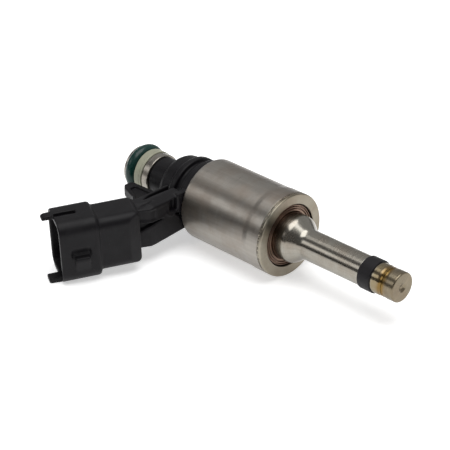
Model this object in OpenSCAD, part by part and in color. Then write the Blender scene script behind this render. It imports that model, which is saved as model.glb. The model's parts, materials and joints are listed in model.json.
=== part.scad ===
// Direct-injection fuel injector, lying on its magnet housing and plug.
// Millimetres. The nozzle axis is the X axis and the nozzle points along +X.
// The origin is the middle of the nozzle's tip face, and stations are counted
// from there towards the fuel inlet, so a station s lies at x = -s.

/* [Nozzle] */
// Diameter of the valve seat at the tip
tip_d = 7.3; // [7.0:0.05:7.4]
// Diameter of the slim valve body behind the seal
stem_d = 7.35; // [7.1:0.05:7.5]
// Station where the valve seat is welded to the valve body
seat_weld_s = 3.4; // [3.0:0.1:4.0]
// Station where the combustion seal starts
seal_s = 6.5; // [6.2:0.1:7.0]
// Length of the combustion seal
seal_len = 3.7; // [3.0:0.1:4.0]
// Outer diameter of the combustion seal
seal_d = 7.95; // [7.7:0.05:8.2]
// Station where the valve body starts to widen
flare_s = 28.1; // [27.9:0.1:28.3]
// Station where the widened shank starts
shank_s = 30.9; // [30.6:0.1:31.2]
// Diameter of the widened shank
shank_d = 11.7; // [11.6:0.05:11.9]

/* [Magnet housing] */
// Station of the front face that seats on the cylinder head
face_s = 33.9; // [33.5:0.1:34.3]
// Outer diameter of the front band
band_d = 20.7; // [20.6:0.05:20.9]
// Outer diameter of the housing behind the front band
pot_d = 20.4; // [20.2:0.05:20.5]
// Station of the weld between the end ring and the housing
end_weld_s = 34.8; // [34.6:0.1:35.0]
// Station where the front band ends
band_end_s = 39.2; // [38.5:0.1:40]
// Station of the rear end of the housing
pot_end_s = 60.4; // [60:0.1:61]
// Wall thickness of the housing
pot_wall = 1.4; // [1.3:0.05:1.5]
// Diameter of the hole in the end ring
end_hole_d = 15.6; // [15.2:0.1:16]

/* [Plug] */
// Angle between the plug and the inlet end of the injector
plug_angle = 62.5; // [60:0.5:65]
// Roll of the plug about the nozzle axis, which lets its collar touch the ground
plug_roll = 3.1; // [2.9:0.05:3.1]
// Station where the plug's axis meets the nozzle axis
plug_s = 52; // [51.5:0.1:52.5]
// Distance from the nozzle axis to the plug's mouth
plug_reach = 44.3; // [44:0.1:45]
// Thickness of the plug's collar
collar_w = 12; // [11.6:0.1:12.4]
// Height of the plug's collar
collar_h = 16; // [15.6:0.1:16.2]
// Length of the plug's collar
collar_len = 9.7; // [9.5:0.1:9.9]
// Thickness of the block behind the collar
block_w = 10.6; // [10:0.1:11]
// Height of the block behind the collar
block_h = 13.9; // [13.5:0.1:14.2]
// Length of the block behind the collar
block_len = 10.05; // [9.5:0.05:10.5]
// Depth of the plug's socket
socket_depth = 9.4; // [9.2:0.05:9.4]
// Wall thickness round the socket
socket_wall = 1.2; // [1.1:0.05:1.4]
// Distance between the two contact pins
pin_pitch = 5; // [4.5:0.1:5.5]

/* [Inlet] */
// Diameter of the plastic neck
neck_d = 10.1; // [10:0.1:10.4]
// Station where the plastic neck ends
neck_end_s = 77.1; // [76.8:0.1:77.4]
// Diameter of the inlet tube's shoulder
shoulder_d = 11; // [10.8:0.1:11.2]
// Station where the support ring starts
support_s = 79.2; // [79:0.1:79.4]
// Outer diameter of the support ring
support_d = 11.4; // [11.2:0.1:11.6]
// Outer diameter of the fuel inlet's O-ring
oring_d = 12.5; // [12.4:0.1:12.7]
// Thickness of the O-ring's cord
oring_cord = 3; // [2.8:0.1:3.1]
// Station of the inlet end
inlet_end_s = 85.9; // [85.8:0.1:86.4]
// Bore of the inlet tube
inlet_bore_d = 4.6; // [4.4:0.1:4.8]

/* [Valve] */
// Diameter of the valve ball
ball_d = 3.2; // [3.1:0.05:3.3]
// Diameter of the valve needle
needle_d = 2; // [1.9:0.05:2.1]
// Opening travel of the needle
needle_lift = 0.09; // [0.06:0.01:0.1]
// Free travel of the armature on the needle
armature_float = 0.05; // [0.03:0.01:0.06]
// Outer diameter of the armature
armature_d = 9.7; // [9.6:0.02:9.74]
// Number of spray holes
spray_holes = 6; // [5:1:7]

/* [Hidden] */
$fn = 96;
fine = 0.02;                              // gap that keeps two touching bodies apart
guide_gap = 0.04;                         // radial clearance of the sliding parts
seat_plug_d = 5.4;                        // valve seat's plug inside the valve body
seat_plug_end_s = 8.4;
seat_bottom_s = 1;                        // bottom of the seat's cone
seat_bottom_r = 0.5;
ball_s = seat_bottom_s - seat_bottom_r + (ball_d/2 + fine)*sqrt(2);  // centre of the ball on its 90 degree seat
seal_groove_d = 6.3;
stem_bore_d = 4.4;
armature_bore_d = armature_d + 0.1;
armature_s = 42;                          // front face of the armature
lower_stop_s = armature_s - 2.4;
armature_len = 5.2;
armature_end_s = armature_s + armature_len;
core_s = armature_end_s + needle_lift + armature_float + 0.05;
body_end_s = 43.5;                        // rear end of the valve body
break_ring_end_s = 48.2;                  // rear end of the non-magnetic ring
core_end_s = 62;
tube_root_s = core_end_s - 2;             // the inlet tube is brazed into the core from here
core_bore_d = 4.2;
cavity_d = pot_d - 2*pot_wall;            // inside of the magnet housing
plate_s = 36.2;                           // front of the lower flux plate
plate_end_s = 39.6;
flux_ring_s = 57.2;
flux_ring_end_s = pot_end_s - 1.3;
coil_s = plate_end_s + 0.2;
coil_end_s = flux_ring_s - 0.2;
coil_flange = 0.9;
tube_d = 7.4;                             // inlet tube inside the plastic
support_end_s = 81.7;
oring_s = 83.5;
groove_d = oring_d - 2*oring_cord;
flange_s = 85.05;
needle_end_s = 50.6;
spring_seat_s = 49.4;
adjuster_s = 56.6;
adjuster_end_s = 63;
filter_s = 72;
arm_face_s = 60.6;                        // near side of the plug's arm
arm_back_s = 66;                          // far side of its upper part
arm_rear_s = 70.2;                        // far side of its lower shelf
pin_tip = plug_reach - 4.6;
socket_floor = plug_reach - socket_depth;
block_start = plug_reach - collar_len - block_len;
pin_root = block_start - 2.4;
pin_w = 1.6;
pin_t = 0.64;
strip_x = -plug_s - pin_root*cos(plug_angle) - pin_t/2;  // the strips run along Y here
strip_out = -pin_root*sin(plug_angle) - 0.6;
strip_in = -6.55;
function strip_z(side) = -pin_root*sin(plug_angle)*sin(plug_roll) + side*pin_pitch/2;
corner_r = 2.5;

steel = [0.72, 0.70, 0.67];
bright = [0.80, 0.79, 0.77];
tinted = [0.66, 0.60, 0.48];
black = [0.13, 0.13, 0.14];
copper = [0.78, 0.45, 0.25];
dark_steel = [0.45, 0.45, 0.46];

// Turns +Z into -X, so that heights become stations.
module on_axis() { rotate([0, -90, 0]) children(); }

// Plain ring between two diameters and two stations.
module ring(outer_d, inner_d, s0, s1) {
  on_axis() rotate_extrude()
    translate([inner_d/2, s0]) square([(outer_d - inner_d)/2, s1 - s0]);
}

module rod(d, s0, s1) {
  on_axis() translate([0, 0, s0]) cylinder(d = d, h = s1 - s0);
}

// Frame of the plug: Z runs out of the mouth, Y up and X towards the nozzle.
module plug_frame() {
  translate([-plug_s, 0, 0])
    rotate([plug_roll, 0, 0]) rotate([90, 0, plug_angle - 90]) children();
}

// Rectangle with round corners, centred on the origin.
module rounded_rect(w, h, r) {
  square([w - 2*r, h], center = true);
  square([w, h - 2*r], center = true);
  for (x = [-1, 1], y = [-1, 1])
    translate([x*(w/2 - r), y*(h/2 - r)]) circle(r, $fn = 48);
}

// Round wire wound about the axis: rings of points joined into one closed tube.
function coil_point(turn_r, wire_r, pitch, a, b) =
  let (r = turn_r + wire_r*cos(b))
  [r*cos(a), r*sin(a), pitch*a/360 + wire_r*sin(b)];

module coil_wire(turn_r, wire_r, pitch, turns, per_turn = 20, sides = 8) {
  rings = turns*per_turn;
  points = [for (i = [0:rings], j = [0:sides - 1])
    coil_point(turn_r, wire_r, pitch, 360*i/per_turn, -360*j/sides)];
  walls = [for (i = [0:rings - 1], j = [0:sides - 1])
    [i*sides + j, i*sides + (j + 1)%sides, (i + 1)*sides + (j + 1)%sides, (i + 1)*sides + j]];
  first_cap = [[for (j = [sides - 1:-1:0]) j]];
  last_cap = [[for (j = [0:sides - 1]) rings*sides + j]];
  polyhedron(points, concat(walls, first_cap, last_cap), convexity = 4);
}

// Tip insert: spray holes, conical seat and the ball's guide bore.
module valve_seat() {
  edge = 0.35;
  guide_r = ball_d/2 + guide_gap;
  hole_lean = 24;
  color(tinted) difference() {
    union() {
      on_axis() rotate_extrude() union() {
        translate([0, edge]) square([tip_d/2, seat_weld_s - edge]);
        square([tip_d/2 - edge, edge + 0.01]);
        translate([tip_d/2 - edge, edge]) circle(edge, $fn = 48);
      }
      rod(seat_plug_d, seat_weld_s, seat_plug_end_s);
    }
    on_axis() rotate_extrude() polygon([
      [0, seat_bottom_s], [seat_bottom_r, seat_bottom_s],
      [guide_r, seat_bottom_s + guide_r - seat_bottom_r],
      [guide_r, seat_plug_end_s + 1], [0, seat_plug_end_s + 1]]);
    translate([2.05, 0, 0]) sphere(2.3);
    for (i = [0:spray_holes - 1])
      rotate([360*i/spray_holes, 0, 0]) translate([-seat_bottom_s - 0.2, 0, 0.27])
        rotate([0, 90 - hole_lean, 0]) cylinder(d = 0.22, h = 3, $fn = 24);
  }
}

// Ball with five flats that let the fuel pass.
module valve_ball() {
  color(bright) difference() {
    translate([-ball_s, 0, 0]) sphere(d = ball_d);
    for (i = [0:4])
      rotate([72*i, 0, 0]) translate([-ball_s, 0, ball_d/2 + 0.28])
        cube([ball_d, ball_d, 1], center = true);
    rod(needle_d, ball_s + 0.6, ball_s + 4);
  }
}

module valve_needle() {
  color(bright) union() {
    rod(needle_d, ball_s + 0.6, needle_end_s);
    rod(needle_d + 0.5, 22, 24);
  }
}

// Sleeve welded on the needle: the spring rests on it and the armature lifts it.
module upper_stop_sleeve() {
  color(bright) difference() {
    union() {
      rod(core_bore_d - 2*guide_gap, armature_end_s + armature_float + 0.01, spring_seat_s);
      rod(2.6, spring_seat_s, needle_end_s);
    }
    rod(needle_d, armature_end_s - 1, needle_end_s + 1);
  }
}

// Ring welded on the needle in front of the armature.
module lower_stop_ring() {
  color(bright) difference() {
    union() {
      rod(3.4, lower_stop_s, armature_s - fine);
      rod(5.6, lower_stop_s, lower_stop_s + 0.5);
    }
    rod(needle_d, lower_stop_s - 1, armature_s + 1);
  }
}

module combustion_seal() {
  color(black) on_axis() rotate_extrude() difference() {
    translate([seal_groove_d/2, seal_s])
      square([(seal_d - seal_groove_d)/2, seal_len]);
    translate([seal_d/2, seal_s + seal_len]) rotate(45) square(0.3, center = true);
    translate([seal_d/2, seal_s]) rotate(45) square(0.3, center = true);
  }
}

// Long thin tube that carries the seat and widens into the magnet housing.
module valve_body() {
  r0 = stem_d/2;
  r1 = shank_d/2;
  color(bright) difference() {
    on_axis() rotate_extrude() polygon([
      [0, seat_weld_s], [tip_d/2, seat_weld_s], [tip_d/2, seal_s],
      [seal_groove_d/2, seal_s], [seal_groove_d/2, seal_s + seal_len],
      [r0, seal_s + seal_len], [r0, flare_s], [r1, shank_s],
      [r1, body_end_s], [0, body_end_s]]);
    rod(seat_plug_d, seat_weld_s - 1, seat_plug_end_s);
    rod(stem_bore_d, seat_plug_end_s - 0.1, flare_s + 3);
    on_axis() translate([0, 0, flare_s + 2])
      cylinder(d1 = stem_bore_d, d2 = 8.4, h = 2.2);
    rod(8.4, flare_s + 4.19, armature_s - 2.8);
    rod(armature_bore_d, armature_s - 2.81, body_end_s + 1);
  }
}

// Ring that closes the front of the magnet housing, with a rounded outer edge.
module end_ring() {
  edge = 0.8;
  color(steel) difference() {
    on_axis() rotate_extrude() union() {
      translate([0, face_s]) square([band_d/2 - edge, end_weld_s - face_s]);
      translate([0, face_s + edge]) square([band_d/2, end_weld_s - face_s - edge]);
      intersection() {
        translate([band_d/2 - edge, face_s + edge]) circle(edge, $fn = 48);
        translate([band_d/2 - edge - 0.01, face_s]) square([edge + 0.02, end_weld_s - face_s]);
      }
      translate([0, end_weld_s - 0.01]) square([cavity_d/2, plate_s - end_weld_s + 0.01]);
    }
    rod(end_hole_d, face_s - 1, plate_s + 1);
  }
}

// Deep drawn pot that carries the flux, with its rear edge rolled in.
module magnet_housing() {
  edge = 1.7;
  mouth_d = 18;
  color(steel) difference() {
    on_axis() rotate_extrude() union() {
      translate([0, end_weld_s]) square([band_d/2, band_end_s - end_weld_s]);
      translate([0, band_end_s - 0.01]) square([pot_d/2, pot_end_s - edge - band_end_s + 0.01]);
      translate([0, pot_end_s - edge - 0.01]) square([pot_d/2 - edge, edge + 0.01]);
      translate([pot_d/2 - edge, pot_end_s - edge]) circle(edge);
    }
    rod(cavity_d, end_weld_s - 1, flux_ring_end_s);
    rod(mouth_d, flux_ring_end_s - 0.01, pot_end_s + 1);
  }
}

// Disc that carries the flux from the valve body to the housing.
module lower_flux_plate() {
  bead_r = 0.28;
  color(tinted) difference() {
    on_axis() rotate_extrude() union() {
      translate([shank_d/2, plate_s]) square([(cavity_d - shank_d)/2, plate_end_s - plate_s]);
      translate([shank_d/2, plate_s - 1.2]) square([0.9, 1.3]);
      translate([shank_d/2 + 0.62, plate_s - 1.2]) circle(bead_r, $fn = 32);
    }
    rod(shank_d, plate_s - 4, plate_end_s + 1);
  }
}

// Brazed-in ring that keeps the flux out of the tube and in the armature gap.
module nonmagnetic_ring() {
  color([0.75, 0.70, 0.55]) ring(shank_d, armature_bore_d, body_end_s, break_ring_end_s);
}

module armature() {
  color(dark_steel) difference() {
    rod(armature_d, armature_s, armature_end_s);
    rod(needle_d + 2*guide_gap, armature_s - 1, armature_end_s + 1);
    for (i = [0:3])
      rotate([90*i + 45, 0, 0]) translate([0, 0, 3.2])
        rod(1.5, armature_s - 1, armature_end_s + 1);
  }
}

// Small spring between the lower stop ring and the armature.
module armature_spring() {
  wire_r = 0.14;
  turns = 2;
  start_s = lower_stop_s + 0.5 + wire_r + fine;
  pitch = (armature_s - fine - wire_r - start_s)/turns;
  color(bright) on_axis() translate([0, 0, start_s])
    coil_wire(turn_r = 2.3, wire_r = wire_r, pitch = pitch, turns = turns, per_turn = 28);
}

// Inner pole: its nose fills the non-magnetic ring in front of the armature.
module magnet_core() {
  color(dark_steel) difference() {
    union() {
      rod(armature_bore_d, core_s, break_ring_end_s + 0.01);
      rod(shank_d, break_ring_end_s, core_end_s);
    }
    rod(core_bore_d, core_s - 1, core_end_s);
    rod(tube_d, tube_root_s, core_end_s + 1);
  }
}

// C-shaped ring: the contact strips run through its gap to the coil.
module upper_flux_ring() {
  color(steel) difference() {
    ring(cavity_d, shank_d, flux_ring_s, flux_ring_end_s);
    strip_gap(0.2);
  }
}

module coil_bobbin() {
  inner_d = shank_d + 2*guide_gap;
  color([0.85, 0.82, 0.72]) union() {
    ring(14, inner_d, coil_s, coil_end_s);
    ring(cavity_d - 0.2, inner_d, coil_s, coil_s + coil_flange);
    ring(cavity_d - 0.2, inner_d, coil_end_s - coil_flange, coil_end_s);
  }
}

module coil_winding() {
  layer = 0.7;
  color(copper) on_axis() rotate_extrude() difference() {
    translate([7, coil_s + coil_flange])
      square([cavity_d/2 - 7.3, coil_end_s - coil_s - 2*coil_flange]);
    for (s = [coil_s + coil_flange + layer/2:layer:coil_end_s - coil_flange - layer/2])
      translate([cavity_d/2 - 0.3, s]) circle(0.12, $fn = 16);
  }
}

module return_spring() {
  wire_r = 0.34;
  turns = 6;
  pitch = (adjuster_s - spring_seat_s - 2*wire_r - 0.04)/turns;
  color(bright) on_axis() translate([0, 0, spring_seat_s + wire_r + fine])
    coil_wire(turn_r = 1.7, wire_r = wire_r, pitch = pitch, turns = turns);
}

// Slotted sleeve pressed into the core: its depth sets the spring's force.
module adjusting_sleeve() {
  color(bright) difference() {
    rod(core_bore_d, adjuster_s, adjuster_end_s);
    rod(2.2, adjuster_s - 1, adjuster_end_s + 1);
    translate([-adjuster_end_s - 1, -0.3, 0]) cube([adjuster_end_s - adjuster_s + 2, 0.6, 4]);
  }
}

// Fuel tube with its shoulder, the groove for the O-ring and the end flange.
module inlet_tube() {
  flange_d = 9.5;
  color(steel) difference() {
    on_axis() rotate_extrude() polygon([
      [0, tube_root_s], [tube_d/2, tube_root_s], [tube_d/2, neck_end_s],
      [shoulder_d/2 - 0.25, neck_end_s], [shoulder_d/2, neck_end_s + 0.25],
      [shoulder_d/2, support_s], [groove_d/2, support_s], [groove_d/2, flange_s],
      [flange_d/2, flange_s], [flange_d/2, inlet_end_s - 0.4],
      [flange_d/2 - 0.5, inlet_end_s], [0, inlet_end_s]]);
    rod(inlet_bore_d, tube_root_s - 1, inlet_end_s + 1);
    on_axis() translate([0, 0, inlet_end_s - 0.8])
      cylinder(d1 = inlet_bore_d, d2 = inlet_bore_d + 1.8, h = 0.9);
  }
}

// Strainer basket: two rings joined by four bars.
module inlet_filter_frame() {
  len = inlet_end_s - 1.5 - filter_s;
  color([0.70, 0.62, 0.40]) difference() {
    rod(inlet_bore_d, filter_s, filter_s + len);
    rod(3.4, filter_s + 0.8, filter_s + len + 1);
    for (i = [0:3])
      rotate([90*i, 0, 0]) translate([-filter_s - len + 1.2, -1.1, 0])
        cube([len - 2.2, 2.2, 4]);
  }
}

module inlet_filter_mesh() {
  color([0.60, 0.60, 0.58]) ring(3.4, 3.1, filter_s + 0.8, inlet_end_s - 2.2);
}

module support_ring() {
  color([0.86, 0.85, 0.76]) ring(support_d, groove_d, support_s, support_end_s);
}

module inlet_o_ring() {
  color([0.10, 0.32, 0.27]) on_axis() rotate_extrude()
    translate([(oring_d - oring_cord)/2, oring_s]) circle(d = oring_cord);
}

// Turned outline of the moulding round the core and the inlet tube.
module overmould_outline() {
  ring_r = 9;
  rear_ring_r = 8.75;
  hump_r = 7.95;
  groove_r = 7.7;                           // the forked clamp sits here
  polygon([
    [0, flux_ring_end_s], [ring_r, flux_ring_end_s], [ring_r, 63.0], [groove_r, 63.1],
    [groove_r, 64.9], [rear_ring_r, 65.0], [rear_ring_r, 66.5], [hump_r, 67.5], [hump_r, 69.8],
    [7.4, 70.8], [6.4, 71.7], [neck_d/2, 72.5], [neck_d/2, neck_end_s], [0, neck_end_s]]);
}

// Web that joins the plug to the moulding. Its near side turns where the block starts.
module plug_arm() {
  top = 5.2;
  bottom = -5.4;
  slope_w = 2.4;
  bend_out = 19.4;
  root_out = 24.2;
  recess = 1.1;
  difference() {
    union() {
      translate([0, 0, bottom]) linear_extrude(top - bottom) polygon([
        [-arm_face_s, -4], [-arm_face_s, -bend_out], [-arm_face_s - 2.4, -root_out],
        [-arm_back_s - 2, -22], [-arm_back_s, -bend_out], [-arm_back_s, -4]]);
      translate([0, 0, bottom]) linear_extrude(-bottom) polygon([
        [1 - arm_back_s, -4], [1 - arm_back_s, -20.5], [-68.5, -21],
        [-arm_rear_s, -17.5], [-arm_rear_s, -4]]);
    }
    // slope along the near top edge
    translate([0, -3, 0]) rotate([90, 0, 0]) linear_extrude(22) polygon([
      [1 - arm_face_s, top - 0.8], [-arm_face_s, top - 0.8], [-arm_face_s - slope_w, top],
      [-arm_face_s - slope_w, top + 1], [1 - arm_face_s, top + 1]]);
    // tapered recess of the near side
    intersection() {
      translate([-arm_back_s, 0, 0]) rotate([90, 0, 90]) linear_extrude(8) polygon([
        [-root_out, -0.65], [-19.3, -0.1], [-15.4, 0.3], [-15.4, 0.55], [-root_out, 1.4]]);
      linear_extrude(12, center = true) polygon([
        [1 - arm_face_s, -15], [-arm_face_s - recess, -15], [-arm_face_s - recess, -bend_out],
        [-arm_face_s - recess - 2.4, -root_out], [1 - arm_face_s, -root_out]]);
    }
    // pocket beside the housing
    translate([-arm_face_s - recess, -13.3, 1.3]) cube([2, 2.3, 2.9]);
    // slots of the top side
    translate([0, 0, top - 0.9]) linear_extrude(2) polygon([
      [-62.9, -22.3], [-63.3, -22.3], [-62.5, -17.1], [-62.1, -17.1]]);
    translate([0, 0, top - 1.5]) linear_extrude(3) polygon([
      [-64.3, -18.8], [-65.1, -16], [-65.2, -9.5], [-64, -9.5], [-64.2, -14]]);
  }
}

// Locating lug that runs beside the neck towards the inlet.
module locating_lug() {
  translate([0, 0, -2.2]) linear_extrude(2.6) polygon([
    [-64, -20], [-68.6, -18.4], [-74.4, -12.9], [-78.9, -11.3], [-80.2, -10.2],
    [-80.2, -8.5], [-79.4, -7.5], [-72, -7.2], [-64, -6]]);
}

// Small ramp on the collar that the mating plug's latch hooks over.
module latch_ramp() {
  translate([collar_w/2, 0, plug_reach - 7.4]) linear_extrude(4)
    polygon([[-0.2, -4.6], [-0.2, -0.6], [0.55, -0.8], [0.6, -1.4]]);
}

module plug_outside() {
  rib_out = 2.6;
  translate([0, 0, plug_reach - collar_len]) linear_extrude(collar_len)
    rounded_rect(collar_w, collar_h, corner_r);
  translate([0, 0, block_start]) linear_extrude(block_len + 1)
    rounded_rect(block_w, block_h, corner_r);
  translate([-2.6, collar_h/2 - 1.5, plug_reach - 3]) cube([2.4, 1.4, 3 + rib_out]);
  translate([0.6, -collar_h/2 - 0.3, plug_reach + 0.3]) cube([2.8, 2, rib_out - 0.3]);
  translate([0.6, -collar_h/2, plug_reach - 3]) cube([2.8, 1.7, 3 + rib_out]);
  latch_ramp();
}

module socket_hollow() {
  translate([0, 0, socket_floor]) linear_extrude(socket_depth + 1)
    rounded_rect(collar_w - 2*socket_wall, collar_h - 2*socket_wall, 1.5);
}

// Gap in the upper flux ring, where the two contact strips pass.
module strip_gap(clear) {
  translate([-flux_ring_end_s, -9.5, strip_z(-1) - 1.2 - clear])
    cube([flux_ring_end_s - flux_ring_s + 0.001, 3.05 + clear, pin_pitch + 2.4 + 2*clear]);
}

// One contact: a blade in the socket and a strip that runs through the arm to the coil.
module contact_pin(side) {
  plug_frame() translate([-pin_t/2, side*pin_pitch/2 - pin_w/2, 0]) {
    translate([0, 0, pin_root]) cube([pin_t, pin_w, pin_tip - pin_root - 0.5]);
    translate([0, 0, pin_tip - 0.5]) rotate([90, 0, 90]) linear_extrude(pin_t)
      polygon([[0, 0], [pin_w, 0], [pin_w - 0.35, 0.5], [0.35, 0.5]]);
  }
  translate([strip_x, strip_out, strip_z(side) - pin_w/2]) cube([pin_t, strip_in - strip_out, pin_w]);
  translate([strip_x, strip_in - pin_t, strip_z(side) - pin_w/2])
    cube([-coil_end_s - strip_x, pin_t, pin_w]);
}

module plastic_overmould() {
  color(black) difference() {
    union() {
      on_axis() rotate_extrude() overmould_outline();
      intersection() {
        strip_gap(0);
        ring(cavity_d, shank_d, flux_ring_s, flux_ring_end_s);
      }
      plug_arm();
      locating_lug();
      plug_frame() plug_outside();
    }
    rod(shank_d, flux_ring_s - 1, core_end_s);
    rod(tube_d, core_end_s - 1, neck_end_s + 1);
    plug_frame() socket_hollow();
    plug_frame() translate([collar_w/2 - 0.7, -0.55, plug_reach - 7.4]) cube([2, 1.7, 4.2]);
    plug_frame() translate([-2.9, collar_h/2 - 0.6, plug_reach - 6.2]) cube([2.2, 1, 4.4]);
    contact_pin(1);
    contact_pin(-1);
  }
}

module contact_pin_upper() { color([0.80, 0.76, 0.62]) contact_pin(1); }
module contact_pin_lower() { color([0.80, 0.76, 0.62]) contact_pin(-1); }

valve_seat();
valve_ball();
valve_needle();
upper_stop_sleeve();
lower_stop_ring();
combustion_seal();
valve_body();
end_ring();
magnet_housing();
lower_flux_plate();
nonmagnetic_ring();
armature();
armature_spring();
magnet_core();
upper_flux_ring();
coil_bobbin();
coil_winding();
return_spring();
adjusting_sleeve();
inlet_tube();
inlet_filter_frame();
inlet_filter_mesh();
support_ring();
inlet_o_ring();
plastic_overmould();
contact_pin_upper();
contact_pin_lower();
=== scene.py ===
"""Looks of the fuel injector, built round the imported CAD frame.

Lengths are written in millimetres, in the CAD's frame: the nozzle axis is X, and a station s lies at x = -s.
Meshes are scaled to metres when they are made.
"""

import json
import math

import bpy
import numpy as np
from mathutils import Matrix, Vector

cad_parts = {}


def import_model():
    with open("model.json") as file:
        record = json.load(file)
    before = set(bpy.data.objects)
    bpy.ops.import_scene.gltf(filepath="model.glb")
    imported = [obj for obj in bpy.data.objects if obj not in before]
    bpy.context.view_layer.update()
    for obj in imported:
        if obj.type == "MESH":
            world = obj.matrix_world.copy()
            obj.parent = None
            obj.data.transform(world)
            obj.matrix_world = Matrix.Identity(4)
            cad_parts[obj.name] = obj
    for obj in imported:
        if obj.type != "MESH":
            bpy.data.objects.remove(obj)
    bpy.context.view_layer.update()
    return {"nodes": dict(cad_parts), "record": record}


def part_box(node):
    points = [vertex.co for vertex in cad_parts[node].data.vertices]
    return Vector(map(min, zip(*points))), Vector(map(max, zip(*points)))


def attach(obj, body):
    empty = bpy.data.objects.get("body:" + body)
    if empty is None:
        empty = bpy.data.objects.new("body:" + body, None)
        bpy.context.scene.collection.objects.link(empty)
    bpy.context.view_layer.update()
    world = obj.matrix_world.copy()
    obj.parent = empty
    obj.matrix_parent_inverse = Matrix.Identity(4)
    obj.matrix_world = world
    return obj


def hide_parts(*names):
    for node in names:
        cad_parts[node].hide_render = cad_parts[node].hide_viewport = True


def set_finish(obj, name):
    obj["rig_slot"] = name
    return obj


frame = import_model()

MM = 0.001
ROOT = "housing"


# ---------------------------------------------------------------- sizes from the frame

def station_span(node):
    """First and last station of a CAD node, in mm."""
    low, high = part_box(node)
    return -high.x / MM, -low.x / MM


def radius(node):
    """Largest radius of a turned CAD node, in mm."""
    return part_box(node)[1].z / MM


TIP_R = radius("valve_seat")
SEAL_S, SEAL_END = station_span("combustion_seal")
SEAL_R = radius("combustion_seal")
SHANK_R = radius("valve_body")
FACE_S, RING_END = station_span("end_ring")
WELD_S = station_span("magnet_housing")[0]
POT_END = station_span("magnet_housing")[1]
BAND_R = radius("magnet_housing")
POT_R = BAND_R - 0.15
CAVITY_R = radius("upper_flux_ring")
SHOULDER_R = radius("inlet_tube")
SUPPORT_S, SUPPORT_END = station_span("support_ring")
SUPPORT_R = radius("support_ring")
O_RING_S, O_RING_END = station_span("inlet_o_ring")
O_RING_R = radius("inlet_o_ring")
INLET_END = station_span("inlet_tube")[1]
FLOOR_Z = -BAND_R

# Sizes that no box in the frame gives.
SEAT_END = 3.4                    # weld between the valve seat and the valve body
SEAT_PLUG_END, SEAT_PLUG_R = 8.4, 2.7
STEM_R, STEM_BORE_R = 3.675, 2.2
SEAL_GROOVE_R = 3.15
BODY_BORE_R, ARMATURE_BORE_R = 4.2, 4.9
BODY_END = 43.5
END_HOLE_R = 7.8
REAR_HOLE_R = 9.03                # the housing is rolled in round the moulding
WELD_HALF = 0.25                  # half the width of the groove at the housing's weld
NECK_END, NECK_R = 77.1, 5.05
TUBE_R, TUBE_BORE_R = 3.7, 2.3    # fuel tube inside the moulding
O_RING_GROOVE_R = 3.35
FLANGE_S, FLANGE_R = 84.85, 5.35  # flange that holds the O-ring
SHARP = 0.05                      # fillet of an edge that looks sharp


# ---------------------------------------------------------------- meshes

def mesh_object(name, points, faces, normals=None, body=ROOT, slot=None):
    """A smooth mesh from points in mm, riding on a body."""
    mesh = bpy.data.meshes.new(name)
    mesh.from_pydata((np.asarray(points, float) * MM).tolist(), [], faces)
    mesh.validate()
    mesh.shade_smooth()
    if normals is not None:
        mesh.normals_split_custom_set_from_vertices(np.asarray(normals, float).tolist())
    obj = bpy.data.objects.new(name, mesh)
    bpy.context.scene.collection.objects.link(obj)
    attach(obj, body)
    if slot:
        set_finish(obj, slot)
    return obj


ON_AXIS = 1e-6      # radius in mm below which a point lies on the axis
NO_TURN = 1e-4      # angle below which a corner is a straight run


def filleted(corners, arc_steps=6):
    """Points and outward normals of a closed outline of (s, r, fillet) corners, walked with the solid on its right.
    A corner on the axis stays one point that faces along it."""
    points, normals = [], []
    n = len(corners)
    for i in range(n):
        here = np.array(corners[i][:2], float)
        if here[1] < ON_AXIS:
            points.append(here)
            normals.append(np.array([-1.0 if corners[(i + 1) % n][1] > 0 else 1.0, 0.0]))
            continue
        to_last = np.array(corners[i - 1][:2], float) - here
        to_next = np.array(corners[(i + 1) % n][:2], float) - here
        len_last, len_next = np.linalg.norm(to_last), np.linalg.norm(to_next)
        to_last, to_next = to_last / len_last, to_next / len_next
        half = math.acos(max(-1.0, min(1.0, float(to_last @ to_next)))) / 2
        if math.pi / 2 - half < NO_TURN:
            continue
        fillet = min(corners[i][2], 0.49 * min(len_last, len_next) * math.tan(half))
        centre = here + (to_last + to_next) / np.linalg.norm(to_last + to_next) * fillet / math.sin(half)
        start = here + to_last * fillet / math.tan(half) - centre
        end = here + to_next * fillet / math.tan(half) - centre
        turn = math.atan2(start[0] * end[1] - start[1] * end[0], float(start @ end))
        side = 1.0 if turn < 0 else -1.0
        for k in range(arc_steps + 1):
            a = turn * k / arc_steps
            ray = np.array([start[0] * math.cos(a) - start[1] * math.sin(a),
                            start[0] * math.sin(a) + start[1] * math.cos(a)])
            points.append(centre + ray)
            normals.append(side * ray / np.linalg.norm(ray))
    return np.array(points), np.array(normals)


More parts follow.
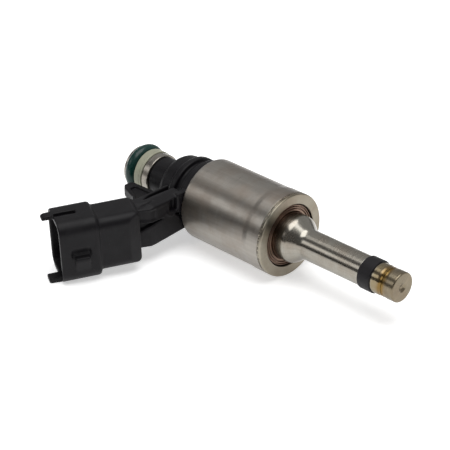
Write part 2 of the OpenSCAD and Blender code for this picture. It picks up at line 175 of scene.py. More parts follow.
def lathe(name, corners, slot, body=ROOT, around=256, arc_steps=6, wobble=None):
    """Turns an outline of (s, r, fillet) corners round the nozzle axis. wobble(s, r, angle) moves r.
    A row of points on the axis is kept as one vertex."""
    points, normals = filleted(corners, arc_steps)
    rows = len(points)
    axial = points[:, 1] < ON_AXIS
    used = np.ones((rows, around), bool)
    used[axial, 1:] = False
    number = np.cumsum(used).reshape(rows, around) - 1
    number[axial] = number[axial][:, :1]
    angle = np.arange(around) * 2 * math.pi / around
    s, r = np.repeat(points[:, 0], around), np.repeat(points[:, 1], around)
    ns, nr = np.repeat(normals[:, 0], around), np.repeat(normals[:, 1], around)
    a = np.tile(angle, rows)
    if wobble is not None:
        r = r + wobble(s, r, a)
    verts = np.stack([-s, r * np.sin(a), r * np.cos(a)], 1)
    out = np.stack([-ns, nr * np.sin(a), nr * np.cos(a)], 1)
    faces = []
    for i in range(rows):
        j = (i + 1) % rows
        if axial[i] and axial[j]:
            continue
        for k in range(around):
            m = (k + 1) % around
            ring = (number[i, k], number[i, m], number[j, m], number[j, k])
            faces.append([int(v) for v in dict.fromkeys(ring)])
    keep = used.ravel()
    return mesh_object(name, verts[keep], faces, None if wobble is not None else out[keep], body, slot)


# ---------------------------------------------------------------- fields of distances, for the moulding

class Grid:
    """Points in mm where a field is sampled."""

    def __init__(self, low, high, step):
        self.low, self.step = np.array(low, np.float32), np.float32(step)
        count = np.ceil((np.array(high) - np.array(low)) / step).astype(int) + 1
        axes = [self.low[i] + self.step * np.arange(count[i], dtype=np.float32) for i in range(3)]
        self.x, self.y, self.z = np.meshgrid(*axes, indexing="ij")


def box_2d(u, v, half_u, half_v, corner):
    """Distance to a rectangle with round corners."""
    a, b = np.abs(u) - (half_u - corner), np.abs(v) - (half_v - corner)
    return np.hypot(np.maximum(a, 0), np.maximum(b, 0)) + np.minimum(np.maximum(a, b), 0) - corner


def box_3d(x, y, z, low, high, corner):
    """Distance to a box with round edges and corners."""
    a, b, c = (np.abs(q - (lo + hi) / 2) - ((hi - lo) / 2 - corner) for q, lo, hi in zip((x, y, z), low, high))
    out = np.sqrt(np.maximum(a, 0) ** 2 + np.maximum(b, 0) ** 2 + np.maximum(c, 0) ** 2)
    return out + np.minimum(np.maximum(a, np.maximum(b, c)), 0) - corner


def polygon_2d(u, v, outline):
    """Distance to a polygon, negative inside it."""
    best = np.full(u.shape, 1e9, np.float32)
    inside = np.zeros(u.shape, bool)
    for (ax, ay), (bx, by) in zip(outline, outline[1:] + outline[:1]):
        ex, ey = bx - ax, by - ay
        wx, wy = u - ax, v - ay
        t = np.clip((wx * ex + wy * ey) / (ex * ex + ey * ey), 0, 1)
        best = np.minimum(best, (wx - ex * t) ** 2 + (wy - ey * t) ** 2)
        if ay != by:
            crosses = ((ay > v) != (by > v)) & (wx < ex * wy / ey)
            inside ^= crosses
    best = np.sqrt(best)
    return np.where(inside, -best, best)


def slab(distance_2d, w, low, high, edge=0.0):
    """A 2D shape extruded from low to high along w, with its end edges rounded."""
    dw = np.abs(w - (low + high) / 2) - (high - low) / 2
    a, b = distance_2d + edge, dw + edge
    return np.hypot(np.maximum(a, 0), np.maximum(b, 0)) + np.minimum(np.maximum(a, b), 0) - edge


def join(a, b, blend=0.0):
    """Union, with a fillet of about blend where the two meet."""
    if blend <= 0:
        return np.minimum(a, b)
    h = np.maximum(blend - np.abs(a - b), 0) / blend
    return np.minimum(a, b) - h * h * blend / 4


def cut(a, b):
    return np.maximum(a, -b)


def soften(field, sigma):
    """Gaussian blur with sigma in grid steps: flat faces stay where they are, and edges get a radius."""
    reach = max(1, int(math.ceil(2.5 * sigma)))
    taps = np.exp(-0.5 * (np.arange(-reach, reach + 1) / sigma) ** 2)
    taps = (taps / taps.sum()).astype(np.float32)
    for axis in range(3):
        padded = np.pad(field, [(reach, reach) if i == axis else (0, 0) for i in range(3)], mode="edge")
        total = np.zeros_like(field)
        for k, tap in enumerate(taps):
            total += tap * np.take(padded, range(k, k + field.shape[axis]), axis=axis)
        field = total
    return field


def net(field, grid):
    """Surface of a field where it is zero: one point for each cell that the surface crosses, and quads between them."""
    inside = field < 0
    corners = [(i, j, k) for i in (0, 1) for j in (0, 1) for k in (0, 1)]
    size = [n - 1 for n in field.shape]
    count = np.zeros(size, np.int8)
    for i, j, k in corners:
        count += inside[i:i + size[0], j:j + size[1], k:k + size[2]]
    active = (count > 0) & (count < 8)
    cells = np.argwhere(active)
    number = np.full(size, -1, np.int32)
    number[active] = np.arange(len(cells))
    total, hits = np.zeros((len(cells), 3)), np.zeros(len(cells))
    for a in corners:
        for axis in range(3):
            if a[axis]:
                continue
            b = tuple(a[i] + (i == axis) for i in range(3))
            fa = field[tuple((cells + a).T)]
            fb = field[tuple((cells + b).T)]
            crossed = (fa < 0) != (fb < 0)
            t = (fa / np.where(crossed, fa - fb, 1))[:, None]
            where = cells + np.array(a) + t * (np.array(b) - np.array(a))
            total[crossed] += where[crossed]
            hits[crossed] += 1
    points = grid.low + grid.step * total / hits[:, None]
    quads = []
    for axis in range(3):
        u, v = np.eye(3, dtype=int)[(axis + 1) % 3], np.eye(3, dtype=int)[(axis + 2) % 3]
        first = np.take(inside, range(field.shape[axis] - 1), axis=axis)
        second = np.take(inside, range(1, field.shape[axis]), axis=axis)
        edges = np.argwhere(first != second)
        edges = edges[(edges[:, (axis + 1) % 3] > 0) & (edges[:, (axis + 2) % 3] > 0)]
        rising = first[tuple(edges.T)]
        ring = [number[tuple(c.T)] for c in (edges, edges - u, edges - u - v, edges - v)]
        quad = np.stack(ring, 1)
        quad[~rising] = quad[~rising][:, ::-1]
        quads.append(quad)
    return points, np.concatenate(quads)


def slope(field, grid, points):
    """Unit normals at points, from the field's slope."""
    at = (points - grid.low) / grid.step
    base = np.clip(np.floor(at).astype(int), 1, np.array(field.shape) - 3)
    t = at - base
    result = np.zeros((len(points), 3))
    for i in (0, 1):
        for j in (0, 1):
            for k in (0, 1):
                weight = ((t[:, 0] if i else 1 - t[:, 0]) * (t[:, 1] if j else 1 - t[:, 1])
                          * (t[:, 2] if k else 1 - t[:, 2]))
                c = base + (i, j, k)
                for axis in range(3):
                    e = np.eye(3, dtype=int)[axis]
                    result[:, axis] += weight * (field[tuple((c + e).T)] - field[tuple((c - e).T)])
    return result / np.linalg.norm(result, axis=1)[:, None]


# ---------------------------------------------------------------- the moulding

PLUG_ANGLE = math.radians(62.5)
PLUG_ROLL = math.radians(3.1)
PLUG_S = 52.0
PLUG_REACH = 44.3
COLLAR = (12.0, 16.0, 9.7)
BLOCK = (10.6, 13.9, 10.05)
BLOCK_START = PLUG_REACH - COLLAR[2] - BLOCK[2]
SOCKET_FLOOR = PLUG_REACH - 9.4
SOCKET_WALL = 1.2

ALONG = Vector((-math.cos(PLUG_ANGLE), -math.sin(PLUG_ANGLE), 0))
ACROSS = Vector((math.sin(PLUG_ANGLE), -math.cos(PLUG_ANGLE), 0))
ROLL = Matrix.Rotation(PLUG_ROLL, 3, "X")
PLUG_T, PLUG_P, PLUG_Q = ROLL @ ALONG, ROLL @ ACROSS, ROLL @ Vector((0, 0, 1))


def plug_axes(x, y, z):
    """Coordinates in the plug's frame: p towards the nozzle, q up, t out of the mouth."""
    u = x + PLUG_S
    return tuple(u * a.x + y * a.y + z * a.z for a in (PLUG_P, PLUG_Q, PLUG_T))


def turned_field(x, y, z):
    """Rings, hump and neck round the inlet tube."""
    front, inside = 58.0, -1.0
    outline = [(front, inside), (front, 9.0), (62.95, 9.0), (63.1, 7.7), (64.9, 7.7), (65.0, 8.75), (66.5, 8.75),
               (67.4, 7.95), (69.8, 7.95), (70.8, 7.4), (71.7, 6.4), (72.5, NECK_R), (NECK_END + 0.15, NECK_R),
               (NECK_END + 0.15, inside)]
    return polygon_2d(-x, np.hypot(y, z), outline)


ARM_NEAR, ARM_BACK, ARM_REAR = -60.6, -66.0, -70.2
ARM_TOP, ARM_BOTTOM = 5.2, -5.1
ARM_BEND, ARM_ROOT = -19.4, -25.5


def arm_field(x, y, z):
    """The web between plug and rings, with its recesses, slots and ribs."""
    upper = slab(polygon_2d(x, y, [(ARM_NEAR, -4.0), (ARM_NEAR, ARM_BEND), (ARM_NEAR - 3.2, ARM_ROOT),
                                   (ARM_BACK - 2.0, -22.0), (ARM_BACK, ARM_BEND), (ARM_BACK, -4.0)]),
                 z, ARM_BOTTOM - 1, ARM_TOP, 0.35)
    upper = np.maximum(upper, ARM_BOTTOM + np.maximum(y + 9, -9) * 0.075 - z)
    upper = cut(upper, box_3d(x, y, z, (-68.0, -9.1, 3.3), (-59.0, 0.0, 9.0), 0.3))
    shelf = slab(polygon_2d(x, y, [(ARM_BACK + 1, -4.0), (ARM_BACK + 1, -20.5), (-68.5, -21.0),
                                   (ARM_REAR, -17.5), (ARM_REAR, -4.0)]), z, ARM_BOTTOM, 0.0, 0.3)
    slant = (z - ARM_TOP) * 0.95 + (x - ARM_NEAR + 2.4) * 0.31 + np.maximum(0, ARM_BEND + 1 - y) * 0.2
    web = np.maximum(upper, slant)
    depth = ARM_NEAR + np.minimum(0, (y - ARM_BEND) * 0.52) - x

    def recess(outline, deep):
        """Cut of one depth behind the near side, which turns at the bend."""
        return np.maximum(polygon_2d(y, z, outline), depth - deep)

    def raised(outline, height):
        """Thin rib that stands on the near side."""
        return np.maximum(polygon_2d(y, z, outline), np.abs(depth) - height)

    wedge = recess([(-24.6, -2.2), (-21.3, -1.25), (-19.3, -0.3), (-15.4, 0.25), (-15.4, 0.5), (-24.6, 1.0)], 1.3)
    panel = recess([(-24.6, 1.9), (-17.9, 1.1), (-17.7, 3.6), (-24.6, 4.3)], 0.25)
    plate = recess([(-17.3, 1.2), (-13.9, 1.5), (-13.9, 3.6), (-17.1, 3.5)], 0.12)
    pocket = recess([(-13.4, 1.35), (-11.0, 1.0), (-10.95, 4.2), (-13.35, 4.1)], 1.3)
    notch = recess([(-11.4, 0.35), (-9.4, -0.3), (-9.4, -1.8), (-10.0, -1.8), (-10.1, -0.9), (-11.4, -0.2)], 0.8)
    for hollow in (wedge, panel, plate, pocket, notch):
        web = cut(web, hollow)
    rib = raised([(-24.6, 1.0), (-20.3, 0.65), (-15.4, 0.5), (-15.4, 0.8), (-20.2, 1.0), (-24.6, 1.4)], 0.22)
    hook = raised([(-14.6, 1.5), (-13.8, 0.3), (-12.8, -0.15), (-11.0, 0.55), (-9.6, 0.0), (-9.2, -1.5), (-8.9, -1.5),
                   (-9.1, 0.3), (-11.0, 0.95), (-12.7, 0.25), (-13.6, 0.6), (-14.3, 1.6)], 0.2)
    boss = box_3d(x, y, z, (-62.0, -10.8, 0.2), (-60.43, -5.5, 5.0), 0.1)
    web = join(web, join(boss, join(rib, hook)), 0.1)
    slot_a = np.maximum(polygon_2d(x, y, [(-63.1, -23.5), (-63.5, -23.5), (-62.5, -17.0), (-62.3, -17.0)]),
                        ARM_TOP - 0.9 - z)
    slot_b = np.maximum(polygon_2d(x, y, [(-64.3, -19.0), (-65.15, -16.0), (-65.3, -7.0), (-63.7, -7.0),
                                          (-64.15, -14.0)]), ARM_TOP - 1.5 - z)
    dimple = box_3d(x, y, z, (-61.4, -21.2, 4.3), (-60.9, -20.3, 7.0), 0.1)
    for hollow in (slot_a, slot_b, dimple):
        web = cut(web, hollow)
    return join(web, shelf, 0.2)


def lug_field(x, y, z):
    """The locating lug beside the neck."""
    outline = [(-64.0, -19.5), (-68.6, -18.0), (-74.4, -12.9), (-78.9, -11.3), (-80.2, -10.2), (-80.2, -8.5),
               (-79.4, -7.6), (-72.0, -7.3), (-64.0, -6.0)]
    lug = slab(polygon_2d(x, y, outline), z, -2.2, 0.4, 0.3)
    tray = slab(polygon_2d(x, y, [(-68.5, -15.6), (-74.6, -11.9), (-77.6, -10.6), (-77.6, -8.9), (-69.0, -8.6)]),
                z, -0.3, 2.0)
    return cut(lug, tray)


def plug_field(x, y, z):
    """Block, collar, the two ribs at the mouth, and the latch's hollow and ramp."""
    p, q, t = plug_axes(x, y, z)
    width, height, length = COLLAR
    side, top = width / 2, height / 2
    mouth = PLUG_REACH
    collar = slab(box_2d(p, q, side, top, 3.1), t, mouth - length, mouth + 3, 0.9)
    collar = np.maximum(collar, t - mouth)
    block = slab(box_2d(p, q - 0.15, BLOCK[0] / 2, BLOCK[1] / 2, 2.5), t, BLOCK_START, mouth - 5, 1.2)
    rib_end = mouth + 2.6
    top_rib = polygon_2d(q, t, [(top - 1.5, mouth - 3), (top - 0.1, mouth - 3), (top - 0.1, rib_end - 1),
                                (top - 0.5, rib_end), (top - 1.5, rib_end), (top - 1.7, rib_end - 0.8),
                                (top - 1.5, rib_end - 1.2)])
    low_rib = polygon_2d(q, t, [(-top - 0.4, mouth + 0.2), (-top + 0.6, mouth - 3), (-top + 1.7, mouth - 3),
                                (-top + 1.7, rib_end - 0.5), (-top + 1.1, rib_end + 0.2),
                                (-top + 0.1, rib_end + 0.2), (-top - 0.4, rib_end - 0.4)])
    ribs = join(slab(top_rib, p, -2.6, -0.2, 0.2), slab(low_rib, p, 0.6, 3.4, 0.2))
    ramp = polygon_2d(p, q, [(side - 1, -4.8), (side - 0.02, -4.8), (side + 0.9, -1.6), (side + 0.85, -0.85),
                             (side - 0.2, -0.65), (side - 1, -0.65)])
    ramp = slab(ramp, t, mouth - 6.9, mouth - 3.2, 0.3)
    scoop = polygon_2d(p, q, [(side + 1, 2.6), (side + 0.1, 1.9), (side - 0.55, 0.2), (side - 0.55, -0.75),
                              (side + 1, -0.75)])
    scoop = slab(scoop, t, mouth - 7.2, mouth - 2.6, 0.3)
    slot = box_3d(p, q, t, (-0.9, top - 0.9, mouth - 5.4), (0.5, top + 1, mouth - 0.3), 0.2)
    body = join(block, collar, 0.3)
    body = join(cut(body, scoop), ramp, 0.1)
    return cut(join(body, ribs, 0.25), slot)


GRID_STEP = 0.2       # mm
EDGE_SOFTNESS = 0.75  # blur of the moulding's edges, in grid steps


def moulding():
    """The whole dark moulding as one closed mesh."""
    low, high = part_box("plastic_overmould")
    margin = 4 * GRID_STEP
    grid = Grid([c / MM - margin for c in low], [c / MM + margin for c in high], GRID_STEP)
    x, y, z = grid.x, grid.y, grid.z
    outer = join(turned_field(x, y, z), join(arm_field(x, y, z), lug_field(x, y, z), 0.3), 0.4)
    outer = join(outer, plug_field(x, y, z), 0.25)
    p, q, t = plug_axes(x, y, z)
    socket = box_2d(p, q, COLLAR[0] / 2 - SOCKET_WALL, COLLAR[1] / 2 - SOCKET_WALL, 1.5)
    outer = cut(outer, slab(socket, t, SOCKET_FLOOR, PLUG_REACH + 9))
    reach = np.hypot(y, z)
    core_r, core_end, front = 6.25, -62.0, -60.0
    outer = cut(outer, slab(reach - core_r, x, core_end, -55.0))
    outer = cut(outer, reach - TUBE_R)
    outer = np.maximum(outer, x - front)
    field = soften(outer, EDGE_SOFTNESS)
    points, quads = net(field, grid)
    normals = slope(field, grid, points)
    return mesh_object("moulding", points, quads.tolist(), normals, slot="dark_plastic")


# ---------------------------------------------------------------- materials

class Nodes:
    """Short calls that build one material's node tree."""

    def __init__(self, name):
        self.material = bpy.data.materials.new(name)
        self.material.use_nodes = True
        self.tree = self.material.node_tree
        self.tree.nodes.clear()
        self.surface = self.add("ShaderNodeBsdfPrincipled")
        output = self.add("ShaderNodeOutputMaterial")
        self.tree.links.new(self.surface.outputs["BSDF"], output.inputs["Surface"])
        self.place = self.add("ShaderNodeTexCoord").outputs["Object"]

    def add(self, kind, inputs=(), **settings):
        made = self.tree.nodes.new(kind)
        for key, value in settings.items():
            setattr(made, key, value)
        for key, value in dict(inputs).items():
            if isinstance(value, bpy.types.NodeSocket):
                self.tree.links.new(value, made.inputs[key])
            else:
                made.inputs[key].default_value = value
        return made

    def math(self, operation, a, b=0.0, c=0.0):
        return self.add("ShaderNodeMath", {0: a, 1: b, 2: c}, operation=operation).outputs[0]

    def scaled(self, vector, factors):
        return self.add("ShaderNodeVectorMath", {0: vector, 1: factors}, operation="MULTIPLY").outputs[0]

    def noise(self, vector, scale, detail=2.0, roughness=0.5):
        inputs = {"Vector": vector, "Scale": scale, "Detail": detail, "Roughness": roughness}
        return self.add("ShaderNodeTexNoise", inputs).outputs["Fac"]

    def remap(self, value, low, high, to_low=0.0, to_high=1.0):
        inputs = {"Value": value, "From Min": low, "From Max": high, "To Min": to_low, "To Max": to_high}
        return self.add("ShaderNodeMapRange", inputs).outputs[0]

    def mix(self, factor, a, b, blend="MIX"):
        made = self.add("ShaderNodeMix", data_type="RGBA", blend_type=blend)
        for index, value in ((0, factor), (6, a), (7, b)):
            if isinstance(value, bpy.types.NodeSocket):
                self.tree.links.new(value, made.inputs[index])
            elif index:
                made.inputs[index].default_value = (*value, 1)
            else:
                made.inputs[index].default_value = value
        return made.outputs[2]

    def bump(self, height, strength, distance, after=None):
        inputs = {"Height": height, "Strength": strength, "Distance": distance}
        if after is not None:
            inputs["Normal"] = after
        return self.add("ShaderNodeBump", inputs).outputs[0]

    def set(self, **values):
        names = {"color": "Base Color", "metallic": "Metallic", "roughness": "Roughness", "normal": "Normal",
                 "specular": "Specular IOR Level", "anisotropy": "Anisotropic", "tangent": "Tangent"}
        for key, value in values.items():
            socket = self.surface.inputs[names[key]]
            if isinstance(value, bpy.types.NodeSocket):
                self.tree.links.new(value, socket)
            elif key == "color":
                socket.default_value = (*value, 1)
            else:
                socket.default_value = value
        return self.material

    def station(self):
        """Distance from the tip in mm."""
        parts = self.add("ShaderNodeSeparateXYZ", {0: self.place}).outputs
        return self.math("MULTIPLY", parts[0], -1 / MM)

    def across_marks(self):
        """Direction on a turned surface that crosses its turning marks."""
        flat = self.scaled(self.place, (0, -1, -1))
        ray = self.add("ShaderNodeVectorMath", {0: flat}, operation="NORMALIZE").outputs[0]
        return self.add("ShaderNodeVectorMath", {0: ray, 1: (1, 0, 0)}, operation="ADD").outputs[0]

    def lathe_lines(self, per_mm, around=1.5):
        """Place vector for grain that runs round the axis: fine along it, long round it, with no seam."""
        flat = self.scaled(self.place, (0, 1, 1))
        ray = self.add("ShaderNodeVectorMath", {0: flat}, operation="NORMALIZE").outputs[0]
        ring = self.scaled(ray, (0, around, around))
        along = self.scaled(self.place, (per_mm / MM, 0, 0))
        return self.add("ShaderNodeVectorMath", {0: ring, 1: along}, operation="ADD").outputs[0]


def steel(name, color, rough, grain_per_mm=6.0, grain=0.25, spots=0.06, tint=(), reflection_streaks=0.05, brushed=0.0):
    """Ground or turned steel: fine lines round the axis, painted reflection streaks along it, cloudy roughness and
    stains.
    tint is a list of (station, width, strength, colour) bands of heat colour, and brushed stretches highlights
    across the turning marks."""
    n = Nodes(name)
    lines = n.noise(n.lathe_lines(grain_per_mm), 1.0, 3.0, 0.7)
    reflection_streak_noise = n.noise(n.lathe_lines(0.06, 14.0), 1.0, 3.0, 0.6)
    cloud = n.noise(n.place, 160.0, 4.0, 0.6)
    fine = n.noise(n.place, 1500.0, 3.0, 0.6)
    stained = tuple(c * f for c, f in zip(color, (0.86, 0.80, 0.76)))
    base = n.mix(n.remap(cloud, 0.42, 0.68), color, stained)
    for at, width, strength, heat_color in tint:
        away = n.math("ABSOLUTE", n.math("SUBTRACT", n.station(), at))
        ragged = n.math("MULTIPLY_ADD", cloud, width * 0.8, width * 0.6)
        factor = n.math("MULTIPLY", n.remap(n.math("DIVIDE", away, ragged), 1.0, 0.3), strength)
        base = n.mix(factor, base, heat_color)
    # The colour is multiplied by the grain lines and by painted reflection streaks that run along the axis.
    shade = n.math("MULTIPLY", n.remap(lines, 0.3, 0.7, 1.0 - spots, 1.0 + spots),
                   n.remap(reflection_streak_noise, 0.35, 0.65, 1.0 - reflection_streaks, 1.0 + reflection_streaks))
    base = n.mix(1.0, base, n.add("ShaderNodeCombineColor", {0: shade, 1: shade, 2: shade}).outputs[0], "MULTIPLY")
    uneven = n.remap(n.math("ADD", n.math("MULTIPLY", lines, 0.6), n.math("MULTIPLY", cloud, 0.4)),
                     0.3, 0.7, rough * 0.75, rough * 1.3)
    normal = n.bump(lines, grain, 0.00001)
    normal = n.bump(fine, grain * 0.6, 0.000006, normal)
    return n.set(color=base, metallic=1.0, roughness=uneven, normal=normal, anisotropy=brushed,
                 tangent=n.across_marks())


def plastic(name, color, rough, grain=0.3, dust=0.0, specular=0.3):
    """Moulded plastic: fine texture, cloudy gloss, and faint dust or wear."""
    n = Nodes(name)
    texture = n.noise(n.place, 5000.0, 2.0, 0.6)
    cloud = n.noise(n.place, 220.0, 4.0, 0.6)
    flow = n.noise(n.scaled(n.place, (1.0, 0.25, 1.0)), 500.0, 3.0, 0.6)
    paler = tuple(min(1.0, c * 1.5 + 0.006) for c in color)
    base = n.mix(n.remap(cloud, 0.45, 0.75, 0.0, 0.5), color, paler)
    specks = n.remap(n.noise(n.place, 2600.0, 2.0, 0.5), 0.68, 0.76)
    base = n.mix(n.math("MULTIPLY", specks, dust), base, (0.35, 0.34, 0.32))
    uneven = n.remap(n.math("ADD", cloud, flow), 0.7, 1.3, rough * 0.85, rough * 1.2)
    normal = n.bump(texture, grain, 0.00001)
    return n.set(color=base, roughness=uneven, normal=normal, specular=specular)


WELD_BROWN = (0.19, 0.115, 0.03)

# One material for each slot of the record, and weld_steel for the bead between the end ring and the housing.
# steel: name, colour, roughness, grain lines per mm, depth of the grain, strength of the spots.
# plastic: name, colour, roughness, depth of the grain, dust.
MATERIALS = {
    "tinted_tip": steel("tip_steel", (0.215, 0.182, 0.128), 0.30, 7.0, 0.6, 0.14, brushed=0.5,
                        tint=[(3.6, 1.5, 0.95, WELD_BROWN)]),
    "ground_steel": steel("ground_steel", (0.30, 0.285, 0.25), 0.235, 8.0, 0.15, 0.06, brushed=0.75,
                          tint=[(5.4, 1.8, 0.9, (0.24, 0.19, 0.11)), (3.6, 1.5, 0.95, WELD_BROWN),
                                (34.3, 2.4, 0.85, (0.15, 0.105, 0.075))]),
    "housing_steel": steel("housing_steel", (0.30, 0.280, 0.252), 0.36, 5.0, 0.3, 0.05, reflection_streaks=0.05, brushed=0.4),
    "ring_steel": steel("ring_steel", (0.275, 0.25, 0.20), 0.33, 6.0, 0.2, 0.04, brushed=0.6),
    "tinted_steel": steel("tinted_steel", (0.21, 0.145, 0.11), 0.30, 4.0, 0.3, 0.2),
    "weld_steel": steel("weld_steel", (0.24, 0.22, 0.18), 0.2, 4.0, 0.8, 0.7, reflection_streaks=0.5),
    "inlet_steel": steel("inlet_steel", (0.30, 0.285, 0.255), 0.28, 6.0, 0.25, 0.05),
    "bright_steel": steel("bright_steel", (0.50, 0.49, 0.47), 0.2, 6.0, 0.2, 0.04),
    "magnetic_steel": steel("magnetic_steel", (0.34, 0.34, 0.35), 0.34, 5.0, 0.25, 0.06),
    "spring_steel": steel("spring_steel", (0.40, 0.40, 0.40), 0.3, 3.0, 0.15, 0.05),
    "contact_metal": steel("contact_metal", (0.50, 0.46, 0.37), 0.28, 3.0, 0.15, 0.05),
    "copper_wire": steel("copper_wire", (0.62, 0.27, 0.10), 0.32, 4.0, 0.2, 0.08),
    "filter_brass": steel("filter_brass", (0.55, 0.42, 0.18), 0.34, 4.0, 0.2, 0.06),
    "filter_mesh": steel("filter_mesh", (0.36, 0.36, 0.35), 0.4, 9.0, 0.6, 0.1),
    "dark_plastic": plastic("dark_plastic", (0.0060, 0.0054, 0.0065), 0.43, 0.3, 0.05, specular=0.16),
    "seal_ptfe": plastic("seal_ptfe", (0.0092, 0.0084, 0.0098), 0.5, 0.4, 0.05, specular=0.2),
    "pale_plastic": plastic("pale_plastic", (0.30, 0.30, 0.225), 0.45, 0.2, 0.0),
    "bobbin_plastic": plastic("bobbin_plastic", (0.50, 0.45, 0.33), 0.5, 0.2, 0.0),
    "green_rubber": plastic("green_rubber", (0.0036, 0.028, 0.023), 0.26, 0.12, 0.1, specular=0.32),
}


def paint(obj, slot):
    """Gives an object one of the materials."""
    obj.data.materials.clear()
    obj.data.materials.append(MATERIALS[slot])


# ---------------------------------------------------------------- pieces

def turned_pieces():
    """Metal, rubber and plastic rings, each replacing the CAD node that it stands for."""
    made = {}
    made["valve_body"] = lathe("valve_body_turned", [
        (SEAT_END + 0.05, SEAT_PLUG_R, SHARP), (SEAT_END + 0.05, TIP_R - 0.05, SHARP), (4.0, TIP_R - 0.1, 0.3),
        (4.6, TIP_R, 0.4), (SEAL_S, TIP_R, 0.1), (SEAL_S, SEAL_GROOVE_R, SHARP),
        (SEAL_END, SEAL_GROOVE_R, SHARP), (SEAL_END, STEM_R, 0.12), (28.1, STEM_R, 2.5), (31.0, SHANK_R, 2.5),
        (BODY_END, SHANK_R, SHARP), (BODY_END, ARMATURE_BORE_R, SHARP), (39.2, ARMATURE_BORE_R, SHARP),
        (39.2, BODY_BORE_R, SHARP), (32.3, BODY_BORE_R, 0.3), (30.1, STEM_BORE_R, 0.3),
        (SEAT_PLUG_END, STEM_BORE_R, SHARP), (SEAT_PLUG_END, SEAT_PLUG_R, SHARP)], "ground_steel")
    seal_front, seal_back, seal_bore = SEAL_S + 0.03, SEAL_END - 0.03, SEAL_GROOVE_R + 0.05
    made["combustion_seal"] = lathe("combustion_seal_turned", [
        (seal_front, seal_bore, SHARP), (seal_front, SEAL_R, 0.28), (seal_back, SEAL_R, 0.28),
        (seal_back, seal_bore, SHARP)], "seal_ptfe")
    ring_back, groove_r = WELD_S - 0.05, BAND_R - 0.4
    made["end_ring"] = lathe("end_ring_turned", [
        (FACE_S, END_HOLE_R, 0.25), (FACE_S, BAND_R, 0.8), (WELD_S - WELD_HALF, BAND_R, 0.12),
        (WELD_S - WELD_HALF, groove_r, SHARP), (ring_back, groove_r, SHARP), (ring_back, CAVITY_R, SHARP),
        (RING_END, CAVITY_R, SHARP), (RING_END, END_HOLE_R, SHARP)], "ring_steel")
    made["magnet_housing"] = lathe("magnet_housing_drawn", [
        (WELD_S + 0.05, CAVITY_R, SHARP), (WELD_S + 0.05, groove_r, SHARP), (WELD_S + WELD_HALF, groove_r, SHARP),
        (WELD_S + WELD_HALF, BAND_R, 0.12), (38.5, BAND_R, SHARP), (39.9, POT_R, SHARP),
        (POT_END, POT_R, 1.7), (POT_END, REAR_HOLE_R, 0.12), (59.1, REAR_HOLE_R, SHARP), (59.1, CAVITY_R, SHARP)],
        "housing_steel", around=320, arc_steps=10)
    made["inlet_tube"] = lathe("inlet_tube_turned", [
        (60.0, TUBE_BORE_R, SHARP), (60.0, TUBE_R, SHARP), (NECK_END, TUBE_R, SHARP), (NECK_END, SHOULDER_R, 0.25),
        (SUPPORT_S, SHOULDER_R, 0.2), (SUPPORT_S, O_RING_GROOVE_R, SHARP), (FLANGE_S, O_RING_GROOVE_R, 0.2),
        (FLANGE_S, FLANGE_R, 0.2), (85.6, FLANGE_R, 0.25), (INLET_END, 4.35, 0.25), (INLET_END, 3.2, 0.2),
        (85.5, TUBE_BORE_R, 0.1)], "inlet_steel")
    front, bore = SUPPORT_S + 0.03, O_RING_GROOVE_R + 0.01
    made["support_ring"] = lathe("support_ring_moulded", [
        (front, bore, SHARP), (front, SUPPORT_R, 0.15), (SUPPORT_S + 0.7, SUPPORT_R, 0.06),
        (SUPPORT_S + 0.8, SUPPORT_R - 0.08, 0.04), (SUPPORT_S + 0.9, SUPPORT_R, 0.06),
        (SUPPORT_END, SUPPORT_R, 0.25), (SUPPORT_END, bore, SHARP)], "pale_plastic")
    middle, cord = (O_RING_S + O_RING_END) / 2, (O_RING_END - O_RING_S) / 2
    made["inlet_o_ring"] = lathe("inlet_o_ring_round", [
        (middle - cord, O_RING_R - 2 * cord, cord), (middle - cord, O_RING_R, cord),
        (middle + cord, O_RING_R, cord), (middle + cord, O_RING_R - 2 * cord, cord)],
        "green_rubber", arc_steps=16)
    plug_bore_r = 1.64
    made["valve_seat"] = lathe("valve_seat_turned", [
        (0.3, 0.0, 0.0), (0.3, 0.3, 0.1), (0.42, 0.5, 0.1), (0.12, 1.0, 0.15), (0.0, 1.2, 0.1), (0.0, TIP_R, 0.35),
        (2.3, TIP_R, 0.4), (2.85, TIP_R - 0.1, 0.3), (SEAT_END - 0.05, TIP_R - 0.05, SHARP),
        (SEAT_END - 0.05, SEAT_PLUG_R, SHARP), (SEAT_PLUG_END, SEAT_PLUG_R, 0.1), (SEAT_PLUG_END, plug_bore_r, 0.1),
        (2.14, plug_bore_r, 0.02), (1.0, 0.5, 0.1), (1.0, 0.0, 0.0)], "tinted_tip")
    rings, grooves, recess_r = 34.3, 34.8, 7.55
    made["lower_flux_plate"] = lathe("lower_flux_plate_turned", [
        (34.5, SHANK_R, SHARP), (rings, SHANK_R + 0.2, 0.1), (rings, 6.45, 0.1), (grooves, 6.5, 0.04),
        (grooves, 6.7, 0.04), (rings, 6.75, 0.1), (rings, 7.0, 0.1), (grooves, 7.05, 0.04), (grooves, 7.25, 0.04),
        (34.35, 7.3, 0.08), (34.35, 7.5, 0.08), (35.2, recess_r, SHARP), (36.2, recess_r, SHARP),
        (36.2, CAVITY_R, SHARP), (39.6, CAVITY_R, SHARP), (39.6, SHANK_R, SHARP)], "tinted_steel")
    for node, piece in made.items():
        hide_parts(node)
    return made


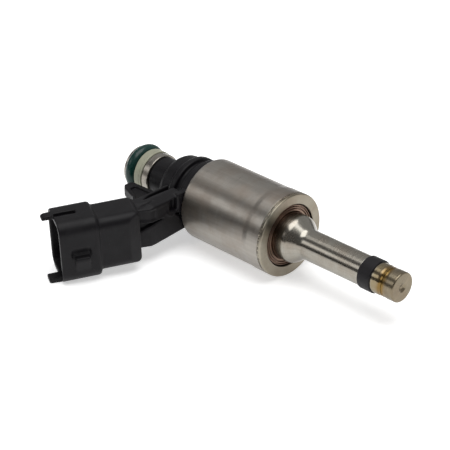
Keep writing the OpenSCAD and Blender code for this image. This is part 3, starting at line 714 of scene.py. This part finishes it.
def weld_bead():
    """Laser weld between end ring and housing: a narrow rough bead in the groove."""
    rng = np.random.default_rng(7)
    waves = [(rng.integers(40, 210), rng.uniform(0, 2 * math.pi), rng.uniform(0.3, 1)) for _ in range(14)]
    bottom, shoulder, crown = BAND_R - 0.39, BAND_R - 0.12, BAND_R - 0.05
    half, crown_half, amplitude = 0.24, 0.1, 0.035

    def rough(s, r, a):
        total = sum(w * np.sin(k * a + ph + s * 25) for k, ph, w in waves)
        return np.where(r > BAND_R - 0.3, amplitude * total, 0)

    return lathe("housing_weld_bead", [
        (WELD_S - half, bottom, 0.02), (WELD_S - half, shoulder, SHARP), (WELD_S - crown_half, crown, SHARP),
        (WELD_S + crown_half, crown, SHARP), (WELD_S + half, shoulder, SHARP), (WELD_S + half, bottom, 0.02)],
        "tinted_steel", around=720, arc_steps=2, wobble=rough)


pieces = turned_pieces()
pieces["weld"] = weld_bead()
pieces["moulding"] = moulding()
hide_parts("plastic_overmould")
for piece in pieces.values():
    paint(piece, piece["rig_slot"])
slot_of = {s["node"]: s["material_slot"] for s in frame["record"]["subparts"]}
paint(pieces["weld"], "weld_steel")
for node, obj in frame["nodes"].items():
    paint(obj, slot_of[node])


# ---------------------------------------------------------------- studio

def floor():
    """Pale floor that glows a little, so that it stays near white beside the object."""
    mesh = bpy.data.meshes.new("studio_floor")
    half, z = 1.2, FLOOR_Z * MM
    mesh.from_pydata([(-half, -half, z), (half, -half, z), (half, half, z), (-half, half, z)], [], [(0, 1, 2, 3)])
    obj = bpy.data.objects.new("studio_floor", mesh)
    bpy.context.scene.collection.objects.link(obj)
    n = Nodes("floor_paint")
    n.surface.inputs["Emission Color"].default_value = (1, 1, 1, 1)
    n.surface.inputs["Emission Strength"].default_value = 0.5
    mesh.materials.append(n.set(color=(0.9, 0.9, 0.9), roughness=0.9, specular=0.0))


def softbox(name, direction, distance, size, radiance, aim=(-0.045, -0.008, 0)):
    """A rectangular light that looks at the object from a direction, with the given radiance."""
    light = bpy.data.lights.new(name, "AREA")
    light.shape = "RECTANGLE"
    light.size, light.size_y = size
    light.energy = radiance * math.pi * size[0] * size[1]
    obj = bpy.data.objects.new(name, light)
    way = Vector(direction).normalized()
    obj.location = Vector(aim) + way * distance
    obj.rotation_mode = "QUATERNION"
    obj.rotation_quaternion = way.to_track_quat("Z", "Y")
    obj.visible_camera = False
    bpy.context.scene.collection.objects.link(obj)


def world():
    """Grey room: dark at the horizon and on the camera's side, lighter behind the object."""
    made = bpy.data.worlds.new("studio")
    bpy.context.scene.world = made
    made.use_nodes = True
    tree = made.node_tree
    parts = tree.nodes.new("ShaderNodeSeparateXYZ")
    tree.links.new(tree.nodes.new("ShaderNodeTexCoord").outputs["Generated"], parts.inputs[0])

    def ramp(source, low, high, to_low, to_high):
        node = tree.nodes.new("ShaderNodeMapRange")
        node.interpolation_type = "SMOOTHSTEP"
        for socket, value in zip(node.inputs[1:5], (low, high, to_low, to_high)):
            socket.default_value = value
        tree.links.new(source, node.inputs[0])
        return node.outputs[0]

    product = tree.nodes.new("ShaderNodeMath")
    product.operation = "MULTIPLY"
    tree.links.new(ramp(parts.outputs[2], 0.04, 0.3, 0.3, 1.0), product.inputs[0])
    tree.links.new(ramp(parts.outputs[1], -0.2, 0.4, 0.17, 0.5), product.inputs[1])
    tree.links.new(product.outputs[0], tree.nodes["Background"].inputs["Color"])


def camera():
    """Long lens in front of the nozzle's left side, looking down."""
    data = bpy.data.cameras.new("camera")
    data.lens, data.sensor_width = 144.0, 36.0
    obj = bpy.data.objects.new("camera", data)
    azimuth, elevation = math.radians(44.64), math.radians(28.84)
    back = Vector((math.sin(azimuth) * math.cos(elevation), -math.cos(azimuth) * math.cos(elevation),
                   math.sin(elevation)))
    aim, distance = Vector((-0.0484, -0.0071, 0)), 0.4254
    obj.location = aim + back * distance
    obj.rotation_mode = "QUATERNION"
    obj.rotation_quaternion = back.to_track_quat("Z", "Y")
    data.clip_start = 0.01
    bpy.context.scene.collection.objects.link(obj)
    bpy.context.scene.camera = obj


floor()
world()
camera()
softbox("top_box", direction=(0.1, -0.05, 1), distance=0.75, size=(0.7, 0.7), radiance=3.2)
softbox("key_box", direction=(-0.57, -0.66, 0.47), distance=0.6, size=(0.3, 0.19), radiance=1.9)
softbox("strip_box", direction=(-0.57, -0.1, 0.81), distance=0.7, size=(0.3, 0.05), radiance=1.9)
bpy.context.scene.view_settings.view_transform = "Standard"
